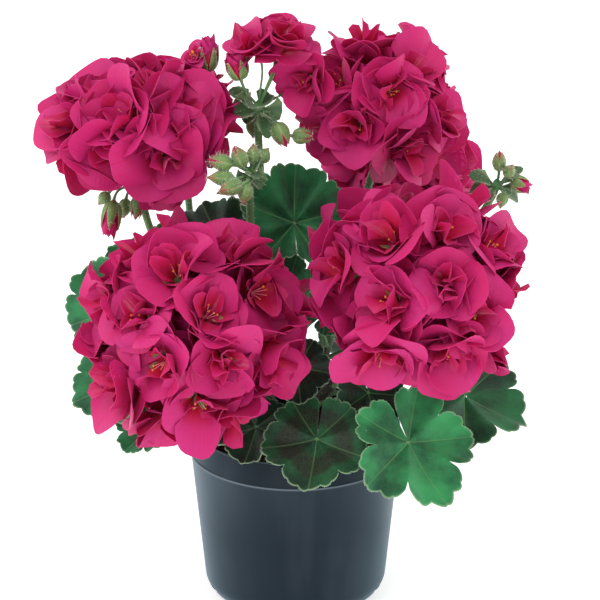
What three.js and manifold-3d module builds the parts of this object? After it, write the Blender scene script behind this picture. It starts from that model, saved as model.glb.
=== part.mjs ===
// A zonal pelargonium with double rose-magenta flowers, growing in a plastic nursery pot.
// One plant: a short crown in the potting soil, five shoots, lobed leaves on long petioles,
// and round umbels of florets on tall peduncles, with clusters of buds between them.
// Millimetres, +Z up. The pot's foot stands on z = 0 and its axis is the Z axis.
// The low left umbel and the half-open one look towards -Y.
import * as THREE from "three";
import { mergeVertices } from "three/addons/utils/BufferGeometryUtils.js";
import Module from "manifold-3d";

const wasm = await Module();
wasm.setup();

// Driving dimensions of the pot and its soil.
const POT_HEIGHT = 104;
const RIM_RADIUS = 61.2;
const SHOULDER_RADIUS = 53.2;
const SHOULDER_Z = 12;
const FOOT_RADIUS = 45.5;
const POT_WALL = 1.5;
const POT_FLOOR = 2;
const BEAD_Z = 88.5;
const SOIL_TOP = 91;
const DRAIN_SLOTS = 8;

// Driving dimensions of the plant.
const CLEARANCE = 0.3;
const CROWN_RADIUS = 6;
const SHOOT_RADIUS = 3.4;
const PEDUNCLE_RADIUS = 2.2;
const PEDICEL_RADIUS = 0.9;
const PETIOLE_RADIUS = 1.7;
const BLADE_THICKNESS = 0.9;
const FLORET_RADIUS = 22;
const CORE_SHARE = 0.75;
const GOLDEN_ANGLE = Math.PI * (3 - Math.sqrt(5));

const degrees = (angle) => (angle * Math.PI) / 180;
const vector = ([x, y, z]) => new THREE.Vector3(x, y, z);

// A linear congruential generator: the same seed always grows the same plant.
function seededRandom(seed) {
  let state = seed >>> 0;
  return () => {
    state = (Math.imul(state, 1664525) + 1013904223) >>> 0;
    return state / 4294967296;
  };
}

// Right-handed axes with w along a direction and u as near as it gets to a wished one.
function axesAlong(direction, wished) {
  const w = direction.clone().normalize();
  const guide = wished || (Math.abs(w.z) < 0.9 ? new THREE.Vector3(0, 0, 1) : new THREE.Vector3(1, 0, 0));
  const u = guide.clone().addScaledVector(w, -guide.dot(w)).normalize();
  return { u, v: w.clone().cross(u), w };
}

// The point at (a, b, c) in axes that start at an origin.
function pointIn(axes, origin, a, b, c) {
  return origin.clone().addScaledVector(axes.u, a).addScaledVector(axes.v, b).addScaledVector(axes.w, c);
}

// A closed solid from points and faces, or from a three.js geometry.
function solidFromFaces(points, faces) {
  return new wasm.Manifold(
    new wasm.Mesh({
      numProp: 3,
      vertProperties: new Float32Array(points.flatMap((p) => [p.x, p.y, p.z])),
      triVerts: new Uint32Array(faces.flat()),
    }),
  );
}

function solidFromGeometry(geometry) {
  const bare = geometry.index ? geometry.toNonIndexed() : geometry.clone();
  bare.deleteAttribute("normal");
  bare.deleteAttribute("uv");
  const merged = mergeVertices(bare, 1e-3);
  return new wasm.Manifold(
    new wasm.Mesh({
      numProp: 3,
      vertProperties: new Float32Array(merged.attributes.position.array),
      triVerts: new Uint32Array(merged.index.array),
    }),
  );
}

function geometryOf(solid) {
  const mesh = solid.getMesh();
  const positions = new Float32Array(mesh.numVert * 3);
  for (let i = 0; i < mesh.numVert; i++) {
    positions.set(mesh.vertProperties.subarray(i * mesh.numProp, i * mesh.numProp + 3), i * 3);
  }
  return new THREE.BufferGeometry()
    .setAttribute("position", new THREE.BufferAttribute(positions, 3))
    .setIndex(new THREE.BufferAttribute(mesh.triVerts, 1));
}

const joined = (solids) => solids.reduce((all, one) => all.add(one));

// The largest body of a solid: a cut can leave loose scraps behind.
function largestBody(solid) {
  return solid.decompose().reduce((best, one) => (one.volume() > best.volume() ? one : best));
}

// A stalk of constant thickness along a cubic Bezier curve through four points. With a
// clearance it is thicker and longer by that much, to cut room for itself.
function stalk(points, radius, sides, steps, clearance = 0) {
  const [a, b, c, d] = points.map((p) => (p.isVector3 ? p.clone() : vector(p)));
  a.addScaledVector(b.clone().sub(a).normalize(), -clearance);
  d.addScaledVector(d.clone().sub(c).normalize(), clearance);
  const section = new THREE.Shape();
  for (let i = 0; i < sides; i++) {
    const angle = (2 * Math.PI * i) / sides;
    const place = [(radius + clearance) * Math.cos(angle), (radius + clearance) * Math.sin(angle)];
    if (i === 0) section.moveTo(...place);
    else section.lineTo(...place);
  }
  section.closePath();
  const extrudePath = new THREE.CubicBezierCurve3(a, b, c, d);
  return solidFromGeometry(new THREE.ExtrudeGeometry(section, { steps, bevelEnabled: false, extrudePath }));
}

// The injection-moulded pot: a tapered wall, a plain band between the rim and a thin bead,
// a chamfered shoulder above the foot, and drainage slots through the foot's edge.
const wallRadius = (z) =>
  SHOULDER_RADIUS + ((RIM_RADIUS - 0.4 - SHOULDER_RADIUS) * (z - SHOULDER_Z)) / (BEAD_Z - SHOULDER_Z);
const innerRadius = (z) => wallRadius(z) - POT_WALL;

function makePot() {
  const outline = [
    [0, 0],
    [FOOT_RADIUS, 0],
    [SHOULDER_RADIUS - 3.2, 4.5],
    [SHOULDER_RADIUS - 0.9, 8.5],
    [SHOULDER_RADIUS, SHOULDER_Z],
    [wallRadius(BEAD_Z - 0.6), BEAD_Z - 0.6],
    [RIM_RADIUS, BEAD_Z],
    [RIM_RADIUS, BEAD_Z + 1],
    [RIM_RADIUS - 0.4, BEAD_Z + 1.4],
    [RIM_RADIUS - 0.2, POT_HEIGHT - 0.8],
    [RIM_RADIUS - 0.8, POT_HEIGHT],
    [RIM_RADIUS - 2.3, POT_HEIGHT],
    [RIM_RADIUS - 2.4, BEAD_Z - 1],
    [innerRadius(SHOULDER_Z + 1), SHOULDER_Z + 1],
    [FOOT_RADIUS - 1.2, POT_FLOOR],
    [0, POT_FLOOR],
  ];
  const turned = new THREE.LatheGeometry(outline.map(([radius, z]) => new THREE.Vector2(radius, z)), 36);
  let pot = solidFromGeometry(turned.rotateX(Math.PI / 2));
  const slot = new THREE.BoxGeometry(12, 8, 17).translate(FOOT_RADIUS + 1, 0, 0);
  for (let i = 0; i < DRAIN_SLOTS; i++) {
    const angle = (2 * Math.PI * (i + 0.5)) / DRAIN_SLOTS;
    pot = pot.subtract(solidFromGeometry(slot.clone().rotateZ(angle)));
  }
  return pot;
}

// Potting soil: it fills the pot, rises a little towards the crown and is crumbly on top.
function makeSoil(room) {
  const sides = 24;
  const random = seededRandom(11);
  const rings = [
    [FOOT_RADIUS - 1.9, POT_FLOOR + CLEARANCE, 0],
    [innerRadius(SHOULDER_Z + 1) - 0.9, SHOULDER_Z + 1, 0],
    [innerRadius(BEAD_Z - 2) - 0.9, BEAD_Z - 2, 0.6],
    [47, SOIL_TOP - 1, 2],
    [30, SOIL_TOP, 2.5],
    [16, SOIL_TOP + 1.5, 2],
  ];
  const points = [new THREE.Vector3(0, 0, POT_FLOOR + CLEARANCE)];
  for (const [radius, height, rough] of rings) {
    for (let i = 0; i < sides; i++) {
      const angle = (2 * Math.PI * i) / sides;
      const z = height + rough * (random() - 0.5);
      points.push(new THREE.Vector3(radius * Math.cos(angle), radius * Math.sin(angle), z));
    }
  }
  points.push(new THREE.Vector3(0, 0, SOIL_TOP + 2.5));
  const at = (ring, i) => 1 + ring * sides + (i % sides);
  const faces = [];
  for (let i = 0; i < sides; i++) {
    faces.push([0, at(0, i + 1), at(0, i)]);
    for (let ring = 0; ring < rings.length - 1; ring++) {
      faces.push([at(ring, i), at(ring, i + 1), at(ring + 1, i + 1)]);
      faces.push([at(ring, i), at(ring + 1, i + 1), at(ring + 1, i)]);
    }
    faces.push([at(rings.length - 1, i), at(rings.length - 1, i + 1), points.length - 1]);
  }
  return solidFromFaces(points, faces).subtract(room);
}

// The crown stands in the soil and forks just above it into five shoots.
const SHOOTS = {
  crown: [[0, 0, 48], [0, 0, 70], [1, -1, 92], [0, 0, 113]],
  front_left: [[0, 0, 102], [-10, -5, 112], [-22, -6, 126], [-26, -8, 150]],
  front_right: [[0, 0, 104], [10, -5, 116], [24, -8, 132], [32, -8, 152]],
  left: [[0, 0, 98], [-16, 8, 112], [-34, 16, 134], [-42, 18, 165]],
  right: [[0, 0, 106], [10, 8, 122], [22, 18, 150], [26, 24, 182]],
  back: [[0, 0, 108], [-2, 14, 118], [0, 28, 138], [2, 34, 168]],
};
const onShoot = ([shoot, share]) => new THREE.CubicBezierCurve3(...SHOOTS[shoot].map(vector)).getPoint(share);

function makeStems(clearance) {
  const thick = (name) => (name === "crown" ? CROWN_RADIUS : SHOOT_RADIUS);
  return joined(
    Object.entries(SHOOTS).map(([name, points]) =>
      stalk(points, thick(name), name === "crown" ? 8 : 6, 4, clearance),
    ),
  );
}

// Leaves: a round blade in five scalloped lobes round the point where the petiole meets it.
// at: that point; face: the way the upper side looks; tip: the way the middle lobe points;
// cut: depth of the notches between lobes; from: the shoot, and how far up it.
const LEAVES = [
  { at: [64, -62, 121], face: [0.3, -0.72, 0.62], tip: [0.45, -0.45, -0.75], width: 77, cut: 0.34, from: ["front_right", 0.35] },
  { at: [101, 2, 119], face: [0.3, -0.5, 0.8], tip: [0.85, -0.2, -0.3], width: 78, cut: 0.34, from: ["right", 0.2] },
  { at: [12, -64, 121], face: [0, -0.66, 0.75], tip: [-0.12, -0.66, -0.74], width: 64, cut: 0.14, from: ["front_right", 0.12] },
  { at: [-22, -40, 118], face: [-0.3, -0.45, 0.85], tip: [-0.3, -0.9, -0.35], width: 48, cut: 0.14, from: ["front_left", 0.2] },
  { at: [1, 7.5, 224], face: [0.12, -0.85, 0.5], tip: [0.05, 0.4, 0.9], width: 66, cut: 0.12, from: ["right", 0.8] },
  { at: [-44, 28, 208], face: [-0.1, -0.5, 0.85], tip: [-0.4, 0.75, 0.55], width: 52, cut: 0.12, from: ["left", 0.9] },
  { at: [-104, 12, 170], face: [-0.4, -0.75, 0.5], tip: [-0.6, 0.1, 0.75], width: 62, cut: 0.2, from: ["left", 0.75] },
  { at: [-104, 6, 130], face: [-0.45, -0.7, 0.55], tip: [-0.8, -0.1, -0.45], width: 64, cut: 0.2, from: ["left", 0.45] },
  { at: [-84, -12, 106], face: [-0.4, -0.55, 0.72], tip: [-0.55, -0.3, -0.75], width: 46, cut: 0.2, from: ["front_left", 0.4] },
  { at: [-4, 4, 189], face: [-0.1, -0.9, 0.4], tip: [0.3, 0.3, 0.9], width: 31, cut: 0.16, from: ["right", 0.4] },
  { at: [18, 2, 172], face: [0.2, -0.85, 0.45], tip: [0.7, 0.1, 0.6], width: 32, cut: 0.16, from: ["right", 0.6] },
  { at: [1, -33, 152], face: [-0.1, -0.8, 0.6], tip: [0.1, -0.55, -0.75], width: 42, cut: 0.14, from: ["front_left", 0.6] },
  { at: [41, -40, 139], face: [0.2, -0.8, 0.55], tip: [0.3, -0.55, -0.75], width: 44, cut: 0.14, from: ["front_right", 0.6] },
  { at: [15, 47, 214], face: [0.2, -0.5, 0.8], tip: [0.5, 0.2, 0.8], width: 50, cut: 0.14, from: ["back", 0.85] },
  { at: [9, 78, 148], face: [0, 0.6, 0.8], tip: [0, 0.9, -0.4], width: 63, cut: 0.16, from: ["back", 0.6] },
  { at: [40, 70, 118], face: [0.35, 0.6, 0.7], tip: [0.3, 0.85, -0.5], width: 68, cut: 0.16, from: ["right", 0.25] },
  { at: [-26, 73, 108], face: [-0.1, 0.65, 0.75], tip: [-0.1, 0.8, -0.6], width: 66, cut: 0.16, from: ["back", 0.2] },
  { at: [84, 26, 158], face: [0.7, 0.2, 0.7], tip: [0.8, 0.5, -0.3], width: 62, cut: 0.2, from: ["right", 0.5] },
  { at: [90, 66, 122], face: [0.55, 0.5, 0.65], tip: [0.7, 0.6, -0.4], width: 60, cut: 0.2, from: ["right", 0.35] },
  { at: [-92, 50, 194], face: [-0.5, 0.4, 0.75], tip: [-0.8, 0.5, 0.1], width: 54, cut: 0.16, from: ["left", 0.6] },
  { at: [16, 92, 206], face: [0.1, 0.6, 0.8], tip: [-0.1, 0.9, 0.3], width: 58, cut: 0.16, from: ["back", 0.98] },
  { at: [-33, 72, 200], face: [-0.3, 0.6, 0.75], tip: [-0.5, 0.8, 0.3], width: 50, cut: 0.16, from: ["back", 0.7] },
  { at: [-78, 40, 112], face: [-0.6, 0.3, 0.72], tip: [-0.85, 0.3, -0.45], width: 62, cut: 0.16, from: ["left", 0.25] },
  { at: [52, 100, 158], face: [0.3, 0.75, 0.55], tip: [0.35, 0.85, -0.4], width: 56, cut: 0.16, from: ["back", 0.75] },
];
const LOBES = 5;
const LOBE_ANGLE = degrees(66);
const LOBE_SIZES = [0.84, 0.96, 1.04, 0.96, 0.84];
const LEAF_CUP = 0.16;
const LEAF_FOLD = 0.07;

function bladeSolid(leaf) {
  const axes = axesAlong(vector(leaf.face), vector(leaf.tip));
  const reach = leaf.width / 2;
  const upper = [[0, 0, 0]];
  // Folds run from the middle to each notch, and lift the blade there.
  for (let fold = 0; fold <= LOBES; fold++) {
    const angle = LOBE_ANGLE * (fold - LOBES / 2);
    const inner = reach * 0.52;
    upper.push([inner * Math.cos(angle), inner * Math.sin(angle), reach * (LEAF_CUP * 0.3 + LEAF_FOLD * 0.6)]);
  }
  // Four outline points a lobe: the notch, a shoulder, the tip and the other shoulder.
  for (let step = 0; step <= LOBES * 4; step++) {
    const lobe = Math.min(LOBES - 1, Math.floor(step / 4));
    const part = step % 4;
    const angle = LOBE_ANGLE * (step / 4 - LOBES / 2);
    const radius = reach * LOBE_SIZES[lobe] * [1 - leaf.cut, 0.97, 1.02, 0.97][part];
    const lift = reach * (LEAF_CUP + [LEAF_FOLD, 0, -LEAF_FOLD, 0][part]);
    upper.push([radius * Math.cos(angle), radius * Math.sin(angle), lift]);
  }
  const fold = (i) => 1 + i;
  const edge = (i) => LOBES + 2 + i;
  const top = [];
  for (let i = 0; i < LOBES; i++) {
    top.push([0, fold(i), fold(i + 1)]);
    top.push([fold(i), edge(4 * i + 2), fold(i + 1)]);
    for (const step of [4 * i, 4 * i + 1]) top.push([fold(i), edge(step), edge(step + 1)]);
    for (const step of [4 * i + 2, 4 * i + 3]) top.push([fold(i + 1), edge(step), edge(step + 1)]);
  }
  const border = [0, fold(0)];
  for (let step = 0; step <= LOBES * 4; step++) border.push(edge(step));
  border.push(fold(LOBES));
  const lower = upper.length;
  const points = [0, -BLADE_THICKNESS].flatMap((drop) =>
    upper.map(([a, b, c]) => pointIn(axes, vector(leaf.at), a, b, c + drop)),
  );
  const sides = border.flatMap((a, i) => {
    const b = border[(i + 1) % border.length];
    return [[a, a + lower, b + lower], [a, b + lower, b]];
  });
  const bottom = top.map(([a, b, c]) => [a + lower, c + lower, b + lower]);
  return solidFromFaces(points, [...top, ...bottom, ...sides]);
}

// The petiole leaves its shoot sideways and comes up to the blade from behind its notch.
function makeLeaf(leaf, clearStems) {
  const start = onShoot(leaf.from);
  const axes = axesAlong(vector(leaf.face), vector(leaf.tip));
  const end = pointIn(axes, vector(leaf.at), 2, 0, -1.4);
  const gap = start.distanceTo(end);
  const outward = end.clone().sub(start).setZ(0).normalize();
  const first = start.clone().addScaledVector(outward, gap * 0.3).add(new THREE.Vector3(0, 0, gap * 0.12));
  const last = pointIn(axes, end, -Math.min(12, gap * 0.25), 0, -Math.min(14, gap * 0.28));
  const petiole = stalk([start, first, last, end], PETIOLE_RADIUS, 4, 3);
  return largestBody(bladeSolid(leaf).add(petiole).subtract(clearStems));
}

// A double floret in one solid. Five broad petals stand round a throat, a smaller whorl
// rises out of it, and its back tapers to the point that its pedicel reaches.
function floretSolid({ place, face, roll, size }) {
  const axes = axesAlong(face);
  const points = [pointIn(axes, place, 0, 0, -12)];
  const ring = (count, locate) => {
    for (let i = 0; i < count; i++) {
      const [share, height, turn] = locate(i);
      const angle = roll + 2 * Math.PI * turn;
      points.push(pointIn(axes, place, size * share * Math.cos(angle), size * share * Math.sin(angle), height));
    }
  };
  ring(10, (i) => [i % 2 ? 0.8 : 1.02, i % 2 ? -3 : 3, i / 10]);
  ring(5, (i) => [0.22, -4, i / 5]);
  ring(5, (i) => [0.55, i % 2 ? 6.5 : 4.5, (i + 0.5) / 5]);
  points.push(pointIn(axes, place, 0, 0, 1));
  const outer = (i) => 1 + (i % 10);
  const throat = (i) => 11 + (i % 5);
  const inner = (i) => 16 + (i % 5);
  const faces = [];
  for (let i = 0; i < 5; i++) {
    faces.push([0, outer(2 * i + 1), outer(2 * i)], [0, outer(2 * i + 2), outer(2 * i + 1)]);
    faces.push([outer(2 * i), outer(2 * i + 1), throat(i)]);
    faces.push([throat(i), outer(2 * i + 1), throat(i + 1)]);
    faces.push([outer(2 * i + 1), outer(2 * i + 2), throat(i + 1)]);
    faces.push([throat(i), throat(i + 1), inner(i)]);
    faces.push([throat(i + 1), inner(i + 1), inner(i)]);
    faces.push([21, inner(i), inner(i + 1)]);
  }
  return solidFromFaces(points, faces);
}

const floretAt = ({ place, face, roll, size }) =>
  floretSolid({ place: vector(place), face: vector(face), roll, size });

// A bud on its pedicel in one solid: thin from the junction to the bud's base, bending on the
// way, then swelling and closing to a point. It has five sides.
function budSolid(junction, [base, tip, radius]) {
  const [knob, b, c] = [junction, base, tip].map(vector);
  const a = knob.lerp(b, 0.12);
  const rise = a.distanceTo(b);
  const arrival = c.clone().sub(b).normalize();
  const bend = b.clone().addScaledVector(arrival, -rise * 0.5).lerp(a, 0.3);
  const side = b.clone().sub(a).cross(arrival);
  const wished = side.length() > 1 ? side.normalize() : axesAlong(arrival).u;
  const rings = [
    [bend, b.clone().sub(a), PEDICEL_RADIUS],
    [b, arrival, PEDICEL_RADIUS * 1.2],
    [b.clone().lerp(c, 0.42), arrival, radius],
  ];
  const points = [a];
  for (const [middle, direction, thick] of rings) {
    const axes = axesAlong(direction, wished);
    for (let i = 0; i < 5; i++) {
      const angle = (2 * Math.PI * i) / 5;
      points.push(pointIn(axes, middle, thick * Math.cos(angle), thick * Math.sin(angle), 0));
    }
  }
  points.push(c);
  const at = (ring, i) => 1 + ring * 5 + (i % 5);
  const faces = [];
  for (let i = 0; i < 5; i++) {
    faces.push([0, at(0, i + 1), at(0, i)], [16, at(2, i), at(2, i + 1)]);
    for (const ring of [0, 1]) {
      faces.push([at(ring, i), at(ring, i + 1), at(ring + 1, i + 1)]);
      faces.push([at(ring, i), at(ring + 1, i + 1), at(ring + 1, i)]);
    }
  }
  return solidFromFaces(points, faces);
}

// A bract: a small green scale from the junction to its tip, bulging on its outer side.
function bractSolid(junction, [tip, width]) {
  const base = vector(junction).lerp(vector(tip), 0.09);
  const axes = axesAlong(vector(tip).sub(base));
  const length = base.distanceTo(vector(tip));
  const points = [
    base,
    pointIn(axes, base, 1.2, width / 2, length * 0.55),
    pointIn(axes, base, 1.2, -width / 2, length * 0.55),
    pointIn(axes, base, 3, 0, length * 0.5),
    pointIn(axes, base, -0.8, 0, length * 0.5),
    vector(tip),
  ];
  const faces = [[0, 1, 3], [0, 3, 2], [0, 4, 1], [0, 2, 4], [5, 3, 1], [5, 2, 3], [5, 1, 4], [5, 4, 2]];
  return solidFromFaces(points, faces);
}

// The pedicel of an open floret, bent so that it comes up to the floret's back head on.
function pedicelSolid(junction, floret) {
  const start = vector(junction).lerp(vector(floret.place), 0.03);
  const arrival = vector(floret.face).normalize();
  const end = vector(floret.place).addScaledVector(arrival, -5);
  const gap = start.distanceTo(end);
  const first = start.clone().lerp(end, 0.3);
  const last = end.clone().addScaledVector(arrival, -gap * 0.45);
  return stalk([start, first, last, end], PEDICEL_RADIUS, 3, 2);
}

// The green parts of an umbel: its peduncle from the shoot to the junction, a small knob
// there, and the pedicels, buds and bracts that spring from the knob.
function makeGreen(umbel, clearStems) {
  const peduncle = [onShoot(umbel.stalk[0]), ...umbel.stalk[1], umbel.stalk[2]];
  const junction = umbel.junction || umbel.stalk[2];
  const parts = [stalk(peduncle, PEDUNCLE_RADIUS, 5, 5)];
  if (umbel.buds.length > 0) {
    const knob = new THREE.IcosahedronGeometry(3.6, 0).rotateX(0.4).rotateY(0.3).translate(...junction);
    parts.push(solidFromGeometry(knob));
  }
  for (const bud of umbel.buds) parts.push(budSolid(junction, bud));
  for (const bract of umbel.bracts || []) parts.push(bractSolid(junction, bract));
  for (const floret of umbel.open || []) parts.push(pedicelSolid(junction, floret));
  return largestBody(joined(parts).subtract(clearStems));
}

// Umbels in full flower. centre and radii: the ball of petals; axis: the way it faces;
// spread: how far round from its axis the florets reach; stalk: the shoot that it grows
// from, the peduncle's two bends, and its end. A bud is its base, its tip and its radius.
// single: a floret that hangs under the rest; standing: a bud that opens above the petals.
const UMBELS = {
  low_left: {
    centre: [-57, -60, 180], radii: [65, 62, 68], axis: [-0.3, -0.62, 0.72], count: 22, spread: 122, seed: 101,
    stalk: [["front_left", 0.9], [[-28, -12, 160], [-40, -30, 165]], [-54, -54, 176]], buds: [],
  },
  low_right: {
    centre: [65, -53, 204], radii: [64, 60, 62], axis: [0.4, -0.55, 0.74], count: 20, spread: 122, seed: 202,
    stalk: [["front_right", 0.9], [[33, -10, 168], [46, -28, 180]], [63, -48, 200]], buds: [],
  },
  top_left: {
    centre: [-83, 12, 274], radii: [59, 47, 45], axis: [-0.3, -0.25, 0.92], count: 14, spread: 108, seed: 303,
    stalk: [["left", 0.93], [[-50, 12, 182], [-93, 4, 198]], [-87, 11, 266]], junction: [-87, 8, 236],
    buds: [
      [[-102, 0, 238], [-105.5, -4, 219], 5.5],
      [[-96, 12, 236], [-98, 13, 224], 4],
      [[-88, 2, 237], [-90.5, 1, 225], 4],
      [[-105, 4, 239.5], [-111, 4, 234], 3.5],
    ],
    single: { place: [-75.5, -8, 249], face: [0.25, -0.85, -0.3], roll: 0.4, size: 16 },
    standing: [[-55, 17, 296], [[-50, 20, 309], [-50.5, 20, 326], 6.5]],
  },
  top_right: {
    centre: [51, 34, 283], radii: [51, 48, 49], axis: [0.2, -0.25, 0.95], count: 14, spread: 115, seed: 404,
    stalk: [["right", 0.93], [[27, 26, 205], [46, 36, 235]], [50, 34, 277]], buds: [],
  },
  back_right: {
    centre: [62, 114, 222], radii: [44, 43, 41], axis: [0.35, 0.6, 0.75], count: 7, spread: 118, seed: 505,
    stalk: [["right", 0.7], [[30, 42, 174], [44, 84, 180]], [60, 111, 218]], buds: [],
  },
  back_left: {
    centre: [-68, 100, 146], radii: [44, 43, 41], axis: [-0.5, 0.6, 0.66], count: 7, spread: 118, seed: 606,
    stalk: [["back", 0.35], [[-8, 40, 129], [-40, 70, 132]], [-66, 97, 144]], buds: [],
  },
};

// Where each floret of an umbel sits: spread evenly by the golden angle, then jittered.
function floretPlaces(umbel) {
  const random = seededRandom(umbel.seed);
  const axes = axesAlong(vector(umbel.axis));
  const radii = vector(umbel.radii);
  const lowest = Math.cos(degrees(umbel.spread));
  return Array.from({ length: umbel.count }, (_, i) => {
    const c = 1 - ((i + 0.5) / umbel.count) * (1 - lowest);
    const s = Math.sqrt(1 - c * c);
    const turn = i * GOLDEN_ANGLE + 0.35 * (random() - 0.5);
    const way = pointIn(axes, new THREE.Vector3(), s * Math.cos(turn), s * Math.sin(turn), c);
    const share = 0.92 - 0.1 * random();
    const place = vector(umbel.centre).add(way.clone().multiply(radii).multiplyScalar(share));
    const lean = new THREE.Vector3(random() - 0.5, random() - 0.5, random() - 0.5);
    const face = way.clone().divide(radii).normalize().addScaledVector(lean, 0.4).normalize();
    return { place, face, roll: 2 * Math.PI * random(), size: FLORET_RADIUS * (0.92 + 0.16 * random()) };
  });
}

function makePetals(umbel, clearGreen) {
  const core = new THREE.IcosahedronGeometry(CORE_SHARE, 1).scale(...umbel.radii).translate(...umbel.centre);
  const parts = [solidFromGeometry(core), ...floretPlaces(umbel).map(floretSolid)];
  if (umbel.single) parts.push(floretAt(umbel.single));
  if (umbel.standing) parts.push(budSolid(...umbel.standing));
  return largestBody(joined(parts).subtract(clearGreen));
}

// The half-open umbel at the top, with a few open florets among its buds.
const HALF_OPEN = {
  stalk: [["back", 0.62], [[-12, 30, 190], [-22, 14, 240]], [-20.6, 10, 291]],
  open: [
    { place: [-25, 8, 327], face: [-0.45, -0.6, 0.6], roll: 0.3, size: 17 },
    { place: [-4, 8, 330], face: [0.25, -0.6, 0.75], roll: 1.1, size: 20 },
    { place: [-6, 4, 306], face: [0.3, -0.85, 0.1], roll: 0.7, size: 20 },
    { place: [-12, 22, 326], face: [-0.1, 0.8, 0.6], roll: 0.2, size: 17 },
  ],
  buds: [
    [[-30, 5, 308], [-33, 3, 324], 6],
    [[-12, 3, 286], [-5, 0, 273], 5],
    [[-2, 5, 278], [10, 2, 274], 4.6],
    [[-23, 19, 282], [-24, 22, 270], 4],
  ],
  bracts: [[[-36, 6, 295], 13], [[-10, 6, 286], 13], [[-27, -2, 297], 10], [[-16, 19, 298], 10]],
};

// Clusters of closed buds, each with bracts round its junction.
const BUD_CLUSTERS = {
  buds_front: {
    stalk: [["crown", 0.98], [[-16, 0, 165], [-28, -6, 215]], [-25, -20, 263]],
    buds: [
      [[-35, -28, 269], [-47.5, -30, 272], 4.6],
      [[-28, -26, 268], [-33, -28, 279], 4.2],
      [[-33, -30, 262], [-47, -35, 263], 4.2],
      [[-30, -33, 259], [-41, -41, 257], 4.4],
      [[-31, -24, 256], [-43, -26, 252], 4],
      [[-26, -30, 259], [-29, -36, 250], 3.6],
      [[-23, -21, 268], [-23, -21, 279], 3.6],
      [[-20, -12, 266], [-15, -6, 272], 4],
    ],
    bracts: [[[-19, -22, 272], 8], [[-19, -22, 254], 8]],
  },
  buds_right: {
    stalk: [["right", 0.85], [[50, 36, 180], [104, 40, 195]], [116, 35, 238]],
    buds: [
      [[117, 35, 246], [117, 34, 259], 3.6],
      [[124, 33, 241], [135, 30, 237], 4.4],
      [[121, 31, 244], [124, 28, 252], 3.4],
      [[120, 33, 234], [118, 31, 225], 3.2],
    ],
    bracts: [
      [[102, 33, 243], 9], [[102, 36, 234], 8], [[130, 36, 246], 9], [[134, 34, 234], 8], [[127, 38, 228], 9],
    ],
  },
  buds_back: {
    stalk: [["left", 0.8], [[-58, 46, 182], [-68, 74, 212]], [-62, 78, 252]],
    buds: [
      [[-60, 84, 258], [-58, 88, 269], 4.4],
      [[-66, 82, 258], [-71, 86, 268], 4.4],
      [[-70, 77, 253], [-81, 79, 256], 4.2],
      [[-54, 80, 254], [-44, 83, 258], 4],
      [[-64, 87, 250], [-66, 98, 247], 4.2],
    ],
    bracts: [[[-56, 72, 262], 9], [[-70, 72, 244], 9]],
  },
};

const root = new THREE.Group();
const MATERIALS = {
  pot: new THREE.MeshStandardMaterial({ color: 0x3c454d, roughness: 0.45, metalness: 0 }),
  soil: new THREE.MeshStandardMaterial({ color: 0x2a1f18, roughness: 1, metalness: 0 }),
  stem: new THREE.MeshStandardMaterial({ color: 0x3f7a4a, roughness: 0.6, metalness: 0 }),
  leaf: new THREE.MeshStandardMaterial({ color: 0x2c6e46, roughness: 0.6, metalness: 0 }),
  petal: new THREE.MeshStandardMaterial({ color: 0xc4155f, roughness: 0.55, metalness: 0 }),
  bud: new THREE.MeshStandardMaterial({ color: 0x7fa04e, roughness: 0.6, metalness: 0 }),
};

function addPiece(name, solid, material) {
  const mesh = new THREE.Mesh(geometryOf(solid), MATERIALS[material]);
  mesh.name = name;
  root.add(mesh);
}

const clearStems = makeStems(CLEARANCE);
addPiece("pot", makePot(), "pot");
addPiece("soil", makeSoil(clearStems), "soil");
addPiece("stems", makeStems(0), "stem");
LEAVES.forEach((leaf, i) => {
  addPiece(`leaf_${String(i + 1).padStart(2, "0")}`, makeLeaf(leaf, clearStems), "leaf");
});
for (const [name, umbel] of Object.entries(UMBELS)) {
  const peduncle = [onShoot(umbel.stalk[0]), ...umbel.stalk[1], umbel.stalk[2]];
  const clearPeduncle = stalk(peduncle, PEDUNCLE_RADIUS, 5, 5, CLEARANCE);
  addPiece(`stalk_${name}`, makeGreen(umbel, clearStems), "stem");
  addPiece(`petals_${name}`, makePetals(umbel, clearPeduncle), "petal");
}
const halfOpenGreen = makeGreen(HALF_OPEN, clearStems);
addPiece("stalk_half_open", halfOpenGreen, "bud");
const openFlorets = joined(HALF_OPEN.open.map(floretAt));
addPiece("petals_half_open", largestBody(openFlorets.subtract(halfOpenGreen)), "petal");
for (const [name, cluster] of Object.entries(BUD_CLUSTERS)) {
  addPiece(name, makeGreen(cluster, clearStems), "bud");
}

export default root;
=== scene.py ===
import math

import bpy
import numpy as np
from numpy.random import default_rng
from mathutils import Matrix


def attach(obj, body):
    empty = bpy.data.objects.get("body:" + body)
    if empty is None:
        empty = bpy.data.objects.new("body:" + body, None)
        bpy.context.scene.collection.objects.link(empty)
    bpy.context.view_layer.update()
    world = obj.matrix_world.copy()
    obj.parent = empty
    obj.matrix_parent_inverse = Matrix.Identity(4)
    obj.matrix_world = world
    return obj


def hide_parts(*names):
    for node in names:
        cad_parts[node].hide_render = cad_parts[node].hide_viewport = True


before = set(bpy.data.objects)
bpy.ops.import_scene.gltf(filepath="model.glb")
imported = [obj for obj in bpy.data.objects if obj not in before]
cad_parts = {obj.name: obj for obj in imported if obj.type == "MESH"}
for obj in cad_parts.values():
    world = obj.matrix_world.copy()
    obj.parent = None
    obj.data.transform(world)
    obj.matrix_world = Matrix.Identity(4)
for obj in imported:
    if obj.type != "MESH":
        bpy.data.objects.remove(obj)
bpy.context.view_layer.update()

# The studio: the plant stands on a wide pale floor in soft daylight from large lamps overhead,
# in front and at both sides, and the camera looks down on it from the front.
scene = bpy.context.scene
scene.view_settings.view_transform = "Standard"


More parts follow.
